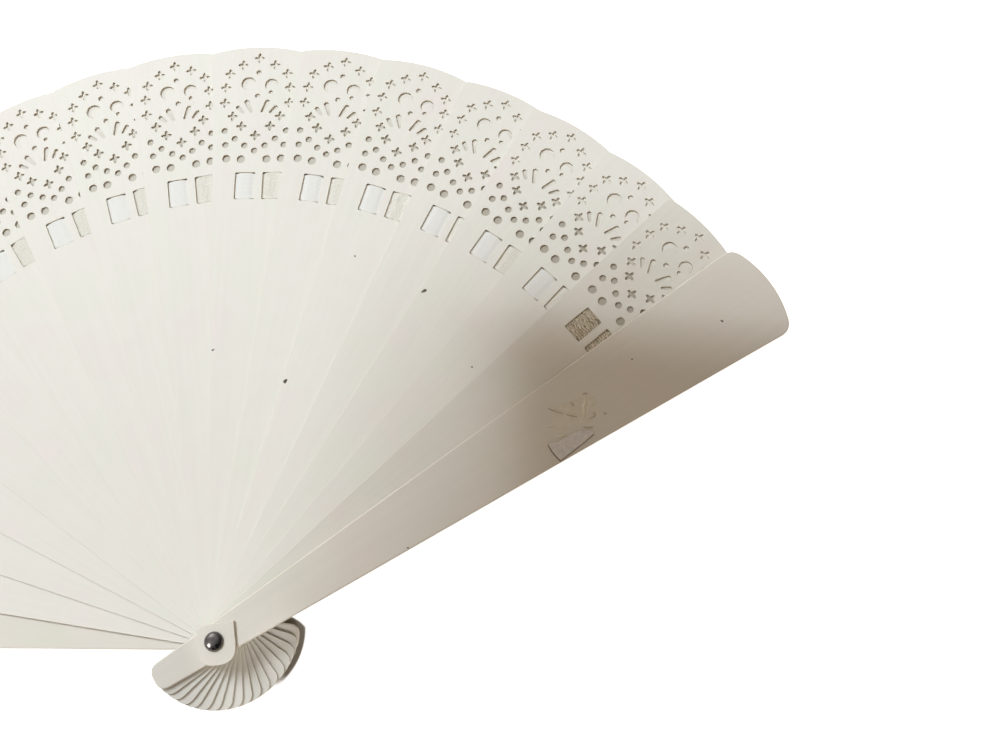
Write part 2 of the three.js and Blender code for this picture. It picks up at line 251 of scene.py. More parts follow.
def window_hole(side):
    """A round-cornered window for the ribbon, left (-1) or right (1) of the bar."""
    x = WINDOW_SHIFT + side * (WINDOW_BAR + WINDOW_WIDTH) / 2
    corners = [(x + i * WINDOW_WIDTH / 2, WINDOW_CENTRE + j * WINDOW_HEIGHT / 2)
               for i, j in ((-1, -1), (1, -1), (1, 1), (-1, 1))]
    points = []
    for i in range(4):
        points += round_corner(corners[i - 1], corners[i], corners[(i + 1) % 4], WINDOW_ROUND, 3)
    return points


def both_sides(places):
    """Each place off the axis is punched on both sides of it."""
    return [(x * side, y) for x, y in places for side in ((1, -1) if x else (1,))]


def stick_holes():
    """Everything that the die punches out of one stick."""
    holes = [round_hole(0, 0, BORE_RADIUS, 24), window_hole(-1), window_hole(1)]
    holes += [cross_hole(x, y) for x, y in both_sides(CROSS_PLACES)]
    holes += [round_hole(x, y, LARGE_DOT_RADIUS, 16) for x, y in both_sides(LARGE_DOT_PLACES)]
    holes += [round_hole(x, y, SMALL_DOT_RADIUS, 14) for x, y in both_sides(SMALL_DOT_PLACES)]
    holes += [round_hole(x, y, AXIS_DOT_RADIUS, 12) for x, y in AXIS_DOT_PLACES]
    holes.append(round_hole(*CRESCENT_DOT_PLACE, CRESCENT_DOT_RADIUS, 12))
    holes += [crescent_hole(*crescent) for crescent in CRESCENTS]
    for side in (-1, 1):
        for (head_x, head_y), (point_x, point_y), *radii in DROPS:
            holes.append(drop_hole((side * head_x, head_y), (side * point_x, point_y), *radii))
    return holes


def inset(loop, distance):
    """A closed loop moved to its left, which is the material's side, by a distance. At sharp corners the
    move is held back."""
    moved = []
    for i, here in enumerate(loop):
        before, here, after = Vector(loop[i - 1]), Vector(here), Vector(loop[(i + 1) % len(loop)])
        first, second = (here - before).normalized(), (after - here).normalized()
        left, next_left = Vector((-first.y, first.x)), Vector((-second.y, second.x))
        stretch = distance / max(MITRE_LIMIT, 1 + left.dot(next_left))
        moved.append(tuple(here + (left + next_left) * stretch))
    return moved


def signed_area(loop):
    """The area inside a loop, positive where it runs anticlockwise."""
    return sum(loop[i - 1][0] * loop[i][1] - loop[i][0] * loop[i - 1][1] for i in range(len(loop))) / 2


def new_mesh(name, points, faces, slots=(), smooth=False):
    """A mesh of points and faces. Each face can have its own material slot."""
    mesh = bpy.data.meshes.new(name)
    mesh.from_pydata(points, [], faces)
    if slots:
        mesh.polygons.foreach_set("material_index", slots)
    if smooth:
        mesh.shade_smooth()
    mesh.validate()
    mesh.update()
    return mesh


def plate_mesh(name, outline, holes, thickness, edge):
    """A closed flat plate with its back on z = 0, holes right through it and every edge eased over.
    Its flat faces have the first material, and its cut edges the second."""
    loops = [outline if signed_area(outline) > 0 else outline[::-1]]
    loops += [hole if signed_area(hole) < 0 else hole[::-1] for hole in holes]
    eased = EASED_SHARE * edge
    rings = [(edge, 0), (eased, eased), (0, edge), (0, thickness - edge), (eased, thickness - eased),
             (edge, thickness)]
    points, faces, slots, flat, borders = [], [], [], [], []
    for loop in loops:
        first, size = len(points), len(loop)
        for distance, height in rings:
            points += [(x * MM, y * MM, height * MM) for x, y in inset(loop, distance)]
        for ring in range(len(rings) - 1):
            low, high = first + ring * size, first + (ring + 1) * size
            for i in range(size):
                j = (i + 1) % size
                faces.append((low + i, low + j, high + j, high + i))
                slots.append(1)
        borders.append(list(range(len(flat), len(flat) + size)))
        flat += [(first + i, first + (len(rings) - 1) * size + i) for i in range(size)]
    corners = [Vector((points[under][0] / MM, points[under][1] / MM)) for under, _ in flat]
    cut = delaunay_2d_cdt(corners, [], borders, CUT_INSIDE_LOOPS, CUT_TOLERANCE)
    triangles, sources = cut[2], cut[3]
    for triangle in triangles:
        ends = [flat[sources[i][0]] for i in triangle]
        faces.append(tuple(top for _, top in ends))
        faces.append(tuple(under for under, _ in reversed(ends)))
        slots += [0, 0]
    return new_mesh(name, points, faces, slots)


blades = ["rear_guard"] + [f"stick_{number:02d}" for number in range(1, STICK_COUNT + 1)] + ["front_guard"]
steps = [joint["range_deg"][1] for joint in frame["joints"]]
blade_place = {}
for number, blade in enumerate(blades):
    turn = math.radians(sum(steps) / 2 - sum(steps[:number]))
    rise = Matrix.Translation((0, 0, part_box(blade)[0].z))
    blade_place[blade] = rise @ Matrix.Rotation(turn, 4, "Z")


def new_object(name, data):
    """A named object, in the scene."""
    thing = bpy.data.objects.new(name, data)
    bpy.context.scene.collection.objects.link(thing)
    return thing


def put(name, mesh, materials, place, body, replaced=None):
    """A finished piece in its place, which rides on its body. It can stand for a CAD node."""
    piece = new_object(name, mesh)
    if not mesh.materials:
        for material in materials:
            mesh.materials.append(material)
    piece.matrix_world = place
    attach(piece, body)
    if replaced:
        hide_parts(replaced)
    return piece


# The last stick's sheet is a little darker: painted shade, for the shade that lies on it beside the front
# guard.
last_stick_shade_sheet = celluloid("celluloid_with_painted_shade", "#e5e2d8", "#e6dcd4", "#e0e1d3", 0.42, 16, 1.1, 0.76)
ivory_sheet = celluloid("ivory_celluloid_sheet", "#eceae1", "#eee6e0", "#e9eadd", 0.42, 16, 1.1, 0.76)
scraped_edge = celluloid("scraped_celluloid_edge", "#e6e0d0", "#ddd2c0", "#dcd6c2", 0.5, 3, 0.5, 0.9)
stick_outline = blade_outline(STICK_LENGTH, STICK_TIP_WIDTH, STICK_TIP_RISE, STICK_TIP_ROUND)
stick_mesh = plate_mesh("pierced_stick", stick_outline, stick_holes(), STICK_THICKNESS, STICK_EDGE)
last_stick_mesh = stick_mesh.copy()
for blade in blades[1:-2]:
    put(blade.replace("stick", "pierced_stick"), stick_mesh, [ivory_sheet, scraped_edge], blade_place[blade],
        blade, blade)
put("pierced_stick_16", last_stick_mesh, [last_stick_shade_sheet, scraped_edge], blade_place["stick_16"], "stick_16",
    "stick_16")

# Ribbon: one white satin band. It runs behind each stick, swells a little into the left window, comes up
# through the right one, where glue holds it, and goes on behind the next stick. Its ends are glued to the
# guards. It is one strip on the real fan, cut here behind each bar, so that each length spans one hinge.
RIBBON_WIDTH = 7.8
RIBBON_THICKNESS = 0.14
RIBBON_CLEARANCE = 0.08
RIBBON_HELD_TO = 7.1
RIBBON_GLUED_END = 6
RIBBON_SPREAD = 0.35
RIBBON_PITCH = 0.3
RIBBON_COLUMNS = 23
RIBBON_MEET = 0.1
RIBBON_LEAVES_GUARD = (1.6, 0.4)
RIBBON_COMES_UP = (0.3, 1.7)
RIBBON_BEHIND_NEXT = 8.5
GLUE_LEAD = 0.2
GLUE_SPAN = 1.2
STIFF_FROM = 0.05
SWELL_HEIGHT = 0.12
SWELL_MARGIN = 0.15
SWELL_FULLNESS = 1.4
SWELL_POWER = 1.5
# Creases are two layers of noise: how fast each changes along the band, across it and from stick to stick,
# and how deep it is.
CREASES = [(0.9, 0.55, 3.3, 0.09), (2.6, 1.3, 5.7, 0.06)]
GATHER_HEIGHT = 0.04
GATHER_DEPTH = 0.09
THREAD_SPACING = 0.4
CREASE_SPACING = 0.75
WAVE_RADIANS = 20
GLUE_STAIN = "#dedaca"


def satin(name, thread, gap, soak, spacing, crumple):
    """Silk satin, woven with long floats. The eye gets a soft sheen across the band and fine threads along
    it, drawn at several times their real spacing, or the ridges of crumpled cloth. Soak is how far hardened
    glue stains it. The wave texture runs through 20 radians in each unit, which is a millimetre here."""
    material, tree, shader = new_material(name)
    place = add_node(tree, "ShaderNodeUVMap", {}).outputs[0]
    threads = add_node(tree, "ShaderNodeTexWave", {
        "Vector": place, "Scale": math.tau / (WAVE_RADIANS * spacing), "Distortion": crumple, "Detail": 2,
        "Detail Scale": 2}, bands_direction="Y").outputs["Fac"]
    slubs = clouds(tree, place, 0.9, 4)
    stain = clouds(tree, place, 1.6, 6)
    tint = mixed(tree, threads, gap, thread)
    tint = mixed(tree, ranged(tree, stain, 0.42, 0.62, 0, soak), tint, GLUE_STAIN)
    tree.links.new(tint, shader.inputs["Base Color"])
    tree.links.new(ranged(tree, slubs, 0, 1, 0.38, 0.62), shader.inputs["Roughness"])
    relief = bumped(tree, stain, 0.5 + soak, 0.15, bumped(tree, threads, 0.6, 0.04))
    tree.links.new(relief, shader.inputs["Normal"])
    shader.inputs["Sheen Weight"].default_value = 0.3
    shader.inputs["Sheen Roughness"].default_value = 0.4
    return material


def swell(x, start, end):
    """A smooth rise from nothing at both ends of a span to 1 in its middle."""
    share = min(1, max(0, (x - start) / (end - start)))
    return min(1, SWELL_FULLNESS * math.sin(math.pi * share)) ** SWELL_POWER


def glued(x):
    """How stiff with glue the band is at a point right of a stick's axis: 1 in the right window."""
    return min(1, max(0, (x - bar_right + GLUE_LEAD) / GLUE_SPAN))


def ribbon_mesh(name, stations):
    """A closed strip through stations. Each is a blade's place, how far right and how high the band lies
    there, the way along it, how stiff, gathered and spread it is, and the blade's number."""
    points, faces, slots, marks = [], [], [], []
    for place, x, height, along, stiff, gathered, spread, number in stations:
        for layer in (0, 1):
            for column in range(RIBBON_COLUMNS):
                across = (RIBBON_WIDTH + 2 * spread) * (column / (RIBBON_COLUMNS - 1) - 0.5)
                crease = sum(noise.noise(Vector((x * right, across * up, number * step))) * depth
                             for right, up, step, depth in CREASES)
                gather = noise.noise(Vector((0.5 * x, across / CREASE_SPACING, 9.1 * number)))
                lift = height + layer * RIBBON_THICKNESS + stiff * crease
                lift += gathered * (GATHER_HEIGHT + GATHER_DEPTH * gather)
                points.append(place @ Vector((x * MM, (WINDOW_CENTRE + across) * MM, lift * MM)))
                marks.append((along, across))
    columns, row = RIBBON_COLUMNS, 2 * RIBBON_COLUMNS
    for i in range(len(stations) - 1):
        stiff = int(stations[i][4] > STIFF_FROM)
        for j in range(columns - 1):
            under, over = i * row + j, i * row + columns + j
            faces.append((under, under + 1, under + row + 1, under + row))
            faces.append((over, over + row, over + row + 1, over + 1))
            slots += [stiff, stiff]
        for low, high in ((i * row, i * row + columns), (i * row + 2 * columns - 1, i * row + columns - 1)):
            faces.append((low, low + row, high + row, high))
            slots.append(stiff)
    last = (len(stations) - 1) * row
    for j in range(columns - 1):
        faces.append((j, columns + j, columns + j + 1, j + 1))
        faces.append((last + j, last + j + 1, last + columns + j + 1, last + columns + j))
        slots += [0, 0]
    mesh = new_mesh(name, points, faces, slots, smooth=True)
    layer = mesh.uv_layers.new(name="UVMap")
    for loop in mesh.loops:
        layer.data[loop.index].uv = marks[loop.vertex_index]
    return mesh


def run(number, path, along):
    """Stations at an even pitch along a path of (right, height) points in one blade's frame."""
    place, stations = blade_place[blades[number]], []
    for (x, z), (next_x, next_z) in zip(path, path[1:]):
        count = max(1, round(abs(next_x - x) / RIBBON_PITCH))
        for i in range(count + (next_x == path[-1][0])):
            here = x + (next_x - x) * i / count
            height = z + (next_z - z) * i / count
            stiff, gathered, spread = 0, 0, 0
            if 0 < number < len(blades) - 1:
                stiff = glued(here)
                risen = swell(here, left_edge + SWELL_MARGIN, bar_left - SWELL_MARGIN)
                height += (RIBBON_CLEARANCE + SWELL_HEIGHT) * risen
                gathered = risen if number == STICK_COUNT else 0
                free = max(swell(here, left_edge, bar_left), swell(here, bar_right, right_edge))
                spread = RIBBON_SPREAD * free
            way = along + here - path[0][0]
            stations.append((place, here, height, way, stiff, gathered, spread, number))
    return stations


bar_left = WINDOW_SHIFT - WINDOW_BAR / 2
bar_right = WINDOW_SHIFT + WINDOW_BAR / 2
left_edge = bar_left - WINDOW_WIDTH
right_edge = bar_right + WINDOW_WIDTH
behind = -RIBBON_CLEARANCE - RIBBON_THICKNESS
in_window = (STICK_THICKNESS - RIBBON_THICKNESS) / 2
white_satin = satin("white_satin_ribbon", "#f3f3ee", "#e3e3de", 0.0, THREAD_SPACING, 1.2)
glued_satin = satin("satin_stiff_with_glue", "#f1f0e8", "#dad7cc", 0.7, THREAD_SPACING, 1.2)
# The brown satin and its dark crease lines are painted shade, for the shade the last lengths lie in beside
# the front guard.
satin_painted_shade = satin("satin_with_painted_shade", "#dccfb8", "#86785f", 0.2, CREASE_SPACING, 9)

for number, (lower, upper) in enumerate(zip(blades, blades[1:])):
    meet = WINDOW_CENTRE * math.tan(math.radians(steps[number]) / 2)
    over = (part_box(upper)[0].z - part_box(lower)[0].z) / MM + behind
    if lower == "rear_guard":
        level = (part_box(lower)[1].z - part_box(lower)[0].z) / MM + RIBBON_CLEARANCE
        first = [(-RIBBON_GLUED_END, level), (meet - RIBBON_LEAVES_GUARD[0], level),
                 (meet - RIBBON_LEAVES_GUARD[1], over), (meet - RIBBON_MEET, over)]
    else:
        first = [(WINDOW_SHIFT, behind), (bar_right + RIBBON_COMES_UP[0], behind),
                 (bar_right + RIBBON_COMES_UP[1], in_window), (RIBBON_HELD_TO, in_window),
                 (RIBBON_BEHIND_NEXT, over), (meet - RIBBON_MEET, over)]
    if upper == "front_guard":
        second = [(RIBBON_MEET - meet, behind), (RIBBON_GLUED_END, behind)]
    else:
        second = [(RIBBON_MEET - meet, behind), (WINDOW_SHIFT, behind)]
    stations = run(number, first, first[0][0])
    stations += run(number + 1, second, stations[-1][3] + 2 * RIBBON_MEET)
    name = f"satin_ribbon_{number + 1:02d}"
    mesh = ribbon_mesh(name, stations)
    # The last two lengths take the satin with painted shade.
    mesh.materials.append(satin_painted_shade if number >= STICK_COUNT - 1 else white_satin)
    mesh.materials.append(satin_painted_shade if number == STICK_COUNT else glued_satin)
    ribbon = new_object(name, mesh)
    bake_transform(ribbon)
    if lower == "rear_guard":
        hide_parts("ribbon_rear_end", "ribbon_01")
    elif upper == "front_guard":
        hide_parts("ribbon_front_end")
    else:
        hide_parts(upper.replace("stick", "ribbon"))

# Guards: the two plain outer blades, cut from celluloid sheet 1 mm thick and browner than the sticks from
# handling. Their edges are rounded over by hand, and they close the stack at both ends of the rivet.
GUARD_LENGTH = 177.4
GUARD_TIP_WIDTH = 28.6
GUARD_TIP_RISE = 3.4
GUARD_TIP_ROUND = 3.2
GUARD_THICKNESS = 1
GUARD_EDGE = 0.35

handled_sheet = celluloid("handled_celluloid_sheet", "#e6e2d8", "#e8ded4", "#e2e0d2", 0.38, 22, 1.4, 0.88)
handled_edge = celluloid("handled_celluloid_edge", "#e9e3d6", "#e2d8c8", "#e0dac8", 0.42, 6, 0.8, 0.88)
guard_outline = blade_outline(GUARD_LENGTH, GUARD_TIP_WIDTH, GUARD_TIP_RISE, GUARD_TIP_ROUND)
guard_mesh = plate_mesh("plain_guard", guard_outline, [round_hole(0, 0, BORE_RADIUS, 24)], GUARD_THICKNESS,
                        GUARD_EDGE)
for blade in ("rear_guard", "front_guard"):
    put(f"{blade}_blade", guard_mesh, [handled_sheet, handled_edge], blade_place[blade], blade,
        blade)

# Marks of use: flecks of soot pressed into the sheets, and on the front guard a torn scrap of white paper
#  beside the dried glue that once held more of it. The scrap's shadow and the light and shade on the glue are
#  painted in. They lie on the sheets and move with them.
MARK_LIFT = 0.002
SPECK_THICKNESS = 0.03
SPECK_EDGE = 0.008
SPECK_RAGGED = 0.6
SPECK_SIDES = 12
# A speck is its blade, its place there, its length, its width as a share of that, and its turn in degrees.
SPECKS = [("stick_14", -9.5, 107.5, 1.9, 0.45, 62), ("stick_12", -7.83, 69.76, 1.5, 0.6, 70),
          ("stick_12", -1.15, 110.26, 0.6, 0.8, 0), ("stick_10", -8.15, 78.25, 0.7, 0.8, 20),
          ("stick_15", -0.16, 97.79, 0.6, 0.7, 0), ("front_guard", 1.62, 159.41, 0.9, 0.6, 10),
          ("front_guard", 6.91, 54.15, 0.7, 0.6, 30), ("front_guard", -3.0, 132.4, 0.5, 0.8, 0)]
SCRAP_THICKNESS = 0.3
SCRAP_EDGE = 0.06
SCRAP_TILT = 2
SCRAP_LIFT = 0.05
SCRAP_OUTLINE = [(3.9, 100.9), (4.1, 100.1), (6.3, 100.0), (8.6, 100.3), (9.6, 100.6), (9.4, 102.8),
                 (9.2, 104.8), (9.0, 107.4), (8.7, 110.1), (8.4, 112.2), (7.6, 112.3), (6.4, 111.0),
                 (5.5, 109.2), (5.2, 107.5), (5.1, 105.3), (4.8, 102.7)]
FILM_THICKNESS = 0.03
FILM_EDGE = 0.01
SCRAP_SHADOW_SHIFT = (0.2, -0.24)
FILM_OUTLINE = [(-2.7, 116.0), (-1.4, 117.5), (0.4, 118.0), (2.6, 117.2), (4.4, 117.4), (5.3, 115.2),
                (5.4, 112.7), (4.2, 110.3), (4.6, 107.6), (3.2, 105.9), (2.1, 103.6), (0.3, 104.9),
                (-1.2, 104.6), (-2.9, 106.2), (-3.6, 108.7), (-2.6, 110.9), (-3.1, 113.3)]
BEAD_SECTION = [(1, 0), (0.7, 0.7), (0, 1), (-0.7, 0.7), (-1, 0)]
BEAD_HEIGHT = 0.16
BEAD_LIFT = 0.01
# A bead is its tone, its width and its path. The two tones are painted light and painted shade on the glue's
# ridges.
LIT_BEAD, SHADED_BEAD = 0, 1
BEADS = [(LIT_BEAD, 1.1, [(-1.5, 115.7), (-0.1, 115.2), (0.9, 113.8), (2.4, 112.9), (3.5, 111.8)]),
         (LIT_BEAD, 0.5, [(1.5, 115.1), (1.5, 115.9), (2.1, 116.5)]),
         (LIT_BEAD, 0.5, [(-0.6, 116.6), (-0.3, 117.4), (0.5, 118.0)]),
         (LIT_BEAD, 0.5, [(-0.8, 109.2), (0.4, 110.3), (1.5, 111.6)]),
         (LIT_BEAD, 0.5, [(-4.3, 106.3), (-2.9, 107.4), (-1.0, 109.0)]),
         (LIT_BEAD, 0.7, [(3.5, 103.1), (4.4, 104.2), (4.4, 105.8)]),
         (LIT_BEAD, 0.5, [(0.0, 102.4), (0.5, 103.5), (1.5, 104.6)]),
         (SHADED_BEAD, 0.5, [(-2.3, 115.5), (-2.1, 116.3), (-1.5, 116.8)]),
         (SHADED_BEAD, 0.6, [(3.3, 115.0), (4.0, 115.5), (4.5, 114.9), (4.4, 114.0), (4.3, 113.1)]),
         (SHADED_BEAD, 0.5, [(5.0, 117.5), (5.8, 118.0)]),
         (SHADED_BEAD, 0.45, [(-0.2, 108.6), (1.0, 109.6), (2.2, 111.0)]),
         (SHADED_BEAD, 0.45, [(-4.1, 105.5), (-2.5, 106.6), (-0.6, 108.2)]),
         (SHADED_BEAD, 0.6, [(-2.3, 111.7), (-1.5, 111.7), (-0.8, 111.8)]),
         (SHADED_BEAD, 0.4, [(5.2, 110.7), (6.1, 111.6), (6.8, 113.0)])]


def cut_corners(path):
    """A path of points with each inner corner cut off, which keeps its ends."""
    cut = [path[0]]
    for here, there in zip(path, path[1:]):
        cut += [here.lerp(there, 0.25), here.lerp(there, 0.75)]
    return cut + [path[-1]]


def bead_mesh(name, beads):
    """Low closed beads with round backs, each drawn out thin at its ends, along paths of points."""
    points, faces, slots = [], [], []
    size = len(BEAD_SECTION)
    for tone, width, bend in beads:
        path = cut_corners(cut_corners([Vector(point) for point in bend]))
        first = len(points)
        for i, here in enumerate(path):
            ahead = path[min(i + 1, len(path) - 1)] - path[max(i - 1, 0)]
            left = Vector((-ahead.y, ahead.x)).normalized()
            swollen = math.sin(math.pi * (i + 0.5) / len(path)) ** 0.6
            for across, lift in BEAD_SECTION:
                x, y = here + left * (across * width / 2 * swollen)
                points.append((x * MM, y * MM, lift * BEAD_HEIGHT * swollen * MM))
        for i in range(len(path) - 1):
            low, high = first + i * size, first + (i + 1) * size
            for k in range(size):
                following = (k + 1) % size
                faces.append((low + k, low + following, high + following, high + k))
        last = len(points) - size
        faces.append(tuple(first + k for k in reversed(range(size))))
        faces.append(tuple(last + k for k in range(size)))
        slots += [tone] * (len(faces) - len(slots))
    return new_mesh(name, points, faces, slots, smooth=True)


def mottled(name, dark, light, size, roughness, relief_depth):
    """A deposit or paper of two tones in patches of one size. The eye gets an uneven, slightly raised
    surface, matt or with a dull gloss."""
    material, tree, shader = new_material(name)
    place = add_node(tree, "ShaderNodeTexCoord", {}).outputs["Object"]
    patches = clouds(tree, place, 1 / (size * MM), 5, 1)
    tint = mixed(tree, ranged(tree, patches, 0.35, 0.65), dark, light)
    tree.links.new(tint, shader.inputs["Base Color"])
    tree.links.new(bumped(tree, patches, 0.8, relief_depth), shader.inputs["Normal"])
    shader.inputs["Roughness"].default_value = roughness
    return material


soot = mottled("soot_speck", "#3a3029", "#75685a", 0.3, 0.7, 0.02)
for number, (blade, x, y, size, narrow, turn) in enumerate(SPECKS, 1):
    outline = []
    for i in range(SPECK_SIDES):
        angle = math.tau * i / SPECK_SIDES
        ragged = noise.noise(Vector((math.cos(angle), math.sin(angle), 3.1 * number)))
        reach = size / 2 * (1 + SPECK_RAGGED * ragged)
        outline.append((reach * math.cos(angle), narrow * reach * math.sin(angle)))
    mesh = plate_mesh(f"soot_speck_{number}", outline, [], SPECK_THICKNESS, SPECK_EDGE)
    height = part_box(blade)[1].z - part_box(blade)[0].z + MARK_LIFT * MM
    place = blade_place[blade] @ Matrix.Translation((x * MM, y * MM, height))
    place = place @ Matrix.Rotation(math.radians(turn), 4, "Z")
    put(f"soot_speck_{number}", mesh, [soot], place, blade)

paper = mottled("torn_white_paper", "#dadadb", "#f0eeea", 1.3, 0.85, 0.2)
# The scrap's cut edges are darker than its face.
dark_paper_edge = mottled("darker_paper_edge", "#a39b90", "#cfc8bd", 0.5, 0.9, 0.05)
# The scrap's shadow is a dark film: painted shadow.
scrap_shadow_paint = mottled("dirt_round_the_scrap", "#6e645a", "#a89d90", 0.9, 0.9, 0.03)
glue_film = mottled("thin_glue_film", "#e0dacb", "#e8e3d7", 2.2, 0.4, 0.05)
# The glue's two tones are the lit and the shaded sides of its ridges: painted light and painted shade.
glue_painted_lit = mottled("hardened_glue", "#e2dbc5", "#f2ecda", 0.6, 0.35, 0.04)
glue_painted_shade = mottled("glue_with_painted_shade", "#bbb19b", "#d3cab7", 0.6, 0.5, 0.04)
guard_top = blade_place["front_guard"] @ Matrix.Translation((0, 0, GUARD_THICKNESS * MM))
on_guard = guard_top @ Matrix.Translation((0, 0, MARK_LIFT * MM))
film_mesh = plate_mesh("thin_glue_film", FILM_OUTLINE, [], FILM_THICKNESS, FILM_EDGE)
put("thin_glue_film", film_mesh, [glue_film], on_guard, "front_guard")
put("hardened_glue_beads", bead_mesh("hardened_glue_beads", BEADS), [glue_painted_lit, glue_painted_shade],
    guard_top @ Matrix.Translation((0, 0, BEAD_LIFT * MM)), "front_guard")
# A dark film under the scrap, moved down and to the right, is the scrap's painted shadow.
scrap_shadow_outline = [(x + SCRAP_SHADOW_SHIFT[0], y + SCRAP_SHADOW_SHIFT[1]) for x, y in SCRAP_OUTLINE]
scrap_shadow_mesh = plate_mesh("dirt_round_the_scrap", scrap_shadow_outline, [], FILM_THICKNESS, FILM_EDGE)
put("dirt_round_the_scrap", scrap_shadow_mesh, [scrap_shadow_paint], on_guard, "front_guard")
hinge = Vector((SCRAP_OUTLINE[1][0] * MM, SCRAP_OUTLINE[1][1] * MM, 0))
tilt = Matrix.Rotation(math.radians(-SCRAP_TILT), 4, "Y")
lifted = Matrix.Translation(hinge) @ tilt @ Matrix.Translation(-hinge)
lifted = lifted @ Matrix.Translation((0, 0, SCRAP_LIFT * MM))
scrap_mesh = plate_mesh("torn_paper_scrap", SCRAP_OUTLINE, [], SCRAP_THICKNESS, SCRAP_EDGE)
put("torn_paper_scrap", scrap_mesh, [paper, dark_paper_edge], guard_top @ lifted, "front_guard")

# Washer plates: two small celluloid plates under the rivet's head and over its burr, square at the top and
# round below. They spread the rivet's pull. The front one has lost a corner, and both stay with the rivet.
PLATE_THICKNESS = 0.7
PLATE_WIDTH = 9.7
PLATE_SHIFT = 0.5
PLATE_ABOVE_RIVET = 4.4
PLATE_BELOW_RIVET = 6
PLATE_END_ROUND = 4.4
PLATE_ANGLE = -6
PLATE_EDGE = 0.12
FRONT_CHIP = (2.6, 0.9)
CHIP_EDGE = [(1, 0), (0.8, -0.25), (0.62, -0.2), (0.45, -0.62), (0.2, -0.7), (0, -1)]

plate_sheet = celluloid("plain_celluloid_plate", "#e9e5db", "#eae2d9", "#e5e4d8", 0.4, 7, 0.9, 1)


def washer_outline(chip_width, chip_height):
    """Outline of a washer plate, whole or with its top left corner chipped off."""
    left, right = PLATE_SHIFT - PLATE_WIDTH / 2, PLATE_SHIFT + PLATE_WIDTH / 2
    low_left, low_right = (left, -PLATE_BELOW_RIVET), (right, -PLATE_BELOW_RIVET)
    top_right, chip_side = (right, PLATE_ABOVE_RIVET), (left, PLATE_ABOVE_RIVET - chip_height)
    outline = round_corner(chip_side, low_left, low_right, PLATE_END_ROUND, 9)
    outline += round_corner(low_left, low_right, top_right, PLATE_END_ROUND, 9)
    outline.append(top_right)
    if chip_height:
        outline += [(left + x * chip_width, PLATE_ABOVE_RIVET + y * chip_height) for x, y in CHIP_EDGE]
    else:
        outline.append(chip_side)
    return outline


for node, chip in (("rear_washer_plate", (0, 0)), ("front_washer_plate", FRONT_CHIP)):
    mesh = plate_mesh(f"{node}_form", washer_outline(*chip), [round_hole(0, 0, BORE_RADIUS, 24)],
                      PLATE_THICKNESS, PLATE_EDGE)
    turned = Matrix.Rotation(math.radians(PLATE_ANGLE), 4, "Z")
    place = Matrix.Translation((0, 0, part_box(node)[0].z)) @ turned
    put(f"{node}_form", mesh, [plate_sheet, handled_edge], place, "rear_guard", node)

# Rivet: a turned steel pin with a domed head, polished and now dark, its tail closed over a steel burr.
# It holds the whole stack, and every blade turns on its shank.
SHANK_RADIUS = 1.2
HEAD_RADIUS = 2.5
HEAD_HEIGHT = 1.5
HEAD_EDGE = (0.12, 0.1)
SHANK_EDGE = 0.15
BURR_OUTER = 2.5
BURR_EDGE = 0.1
TURNED_SIDES = 40
SPOT_SIZE = 0.7
RING_SPACING = 0.7854


def turned_mesh(name, profile, sides):
    """A closed turned form about Z from a profile of (radius, height), which starts and ends on the axis."""
    points, faces = [(0, 0, profile[0][1] * MM)], []
    for radius, height in profile[1:-1]:
        for i in range(sides):
            turn = math.tau * i / sides
            points.append((radius * MM * math.cos(turn), radius * MM * math.sin(turn), height * MM))
    points.append((0, 0, profile[-1][1] * MM))
    for i in range(sides):
        j = (i + 1) % sides
        faces.append((0, 1 + j, 1 + i))
        for ring in range(len(profile) - 3):
            low, high = 1 + ring * sides, 1 + (ring + 1) * sides
            faces.append((low + i, low + j, high + j, high + i))
        last = 1 + (len(profile) - 3) * sides
        faces.append((last + i, last + j, len(points) - 1))
    return new_mesh(name, points, faces, smooth=True)


def dark_steel(name):
    """Mild steel, turned, polished and darkened by age. The eye gets a mirror dome with fine turning rings
    and a few dull spots."""
    material, tree, shader = new_material(name)
    place = add_node(tree, "ShaderNodeTexCoord", {}).outputs["Object"]
    spots = clouds(tree, place, 1 / (SPOT_SIZE * MM), 5)
    rings = add_node(tree, "ShaderNodeTexWave", {
        "Vector": place, "Scale": math.tau / (WAVE_RADIANS * RING_SPACING * MM), "Distortion": 0.5},
        wave_type="RINGS", rings_direction="Z").outputs["Fac"]
    tree.links.new(mixed(tree, spots, "#5a5553", "#7c7672"), shader.inputs["Base Color"])
    tree.links.new(ranged(tree, spots, 0.35, 0.75, 0.16, 0.45), shader.inputs["Roughness"])
    tree.links.new(bumped(tree, rings, 0.15, 0.02), shader.inputs["Normal"])
    shader.inputs["Metallic"].default_value = 1
    return material


polished_steel = dark_steel("polished_dark_steel")
head_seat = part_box("rivet")[1].z / MM - HEAD_HEIGHT
dome = [(HEAD_RADIUS * math.cos(math.radians(angle)), head_seat + HEAD_HEIGHT * math.sin(math.radians(angle)))
        for angle in range(0, 90, 9)]
rivet_profile = [(0, 0), (SHANK_RADIUS - SHANK_EDGE, 0), (SHANK_RADIUS, SHANK_EDGE),
                 (SHANK_RADIUS, head_seat), (HEAD_RADIUS - HEAD_EDGE[0], head_seat),
                 (HEAD_RADIUS, head_seat + HEAD_EDGE[1])]
rivet_profile += dome[1:] + [(0, head_seat + HEAD_HEIGHT)]
rivet_mesh = turned_mesh("domed_rivet", rivet_profile, TURNED_SIDES)
put("domed_rivet", rivet_mesh, [polished_steel], Matrix.Identity(4), "rear_guard", "rivet")
burr_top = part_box("rivet_burr")[1].z / MM
burr_mesh = plate_mesh("closed_burr", round_hole(0, 0, BURR_OUTER, 32),
                       [round_hole(0, 0, BORE_RADIUS, 24)], burr_top, BURR_EDGE)
put("closed_burr", burr_mesh, [polished_steel, polished_steel], Matrix.Identity(4), "rear_guard",
    "rivet_burr")

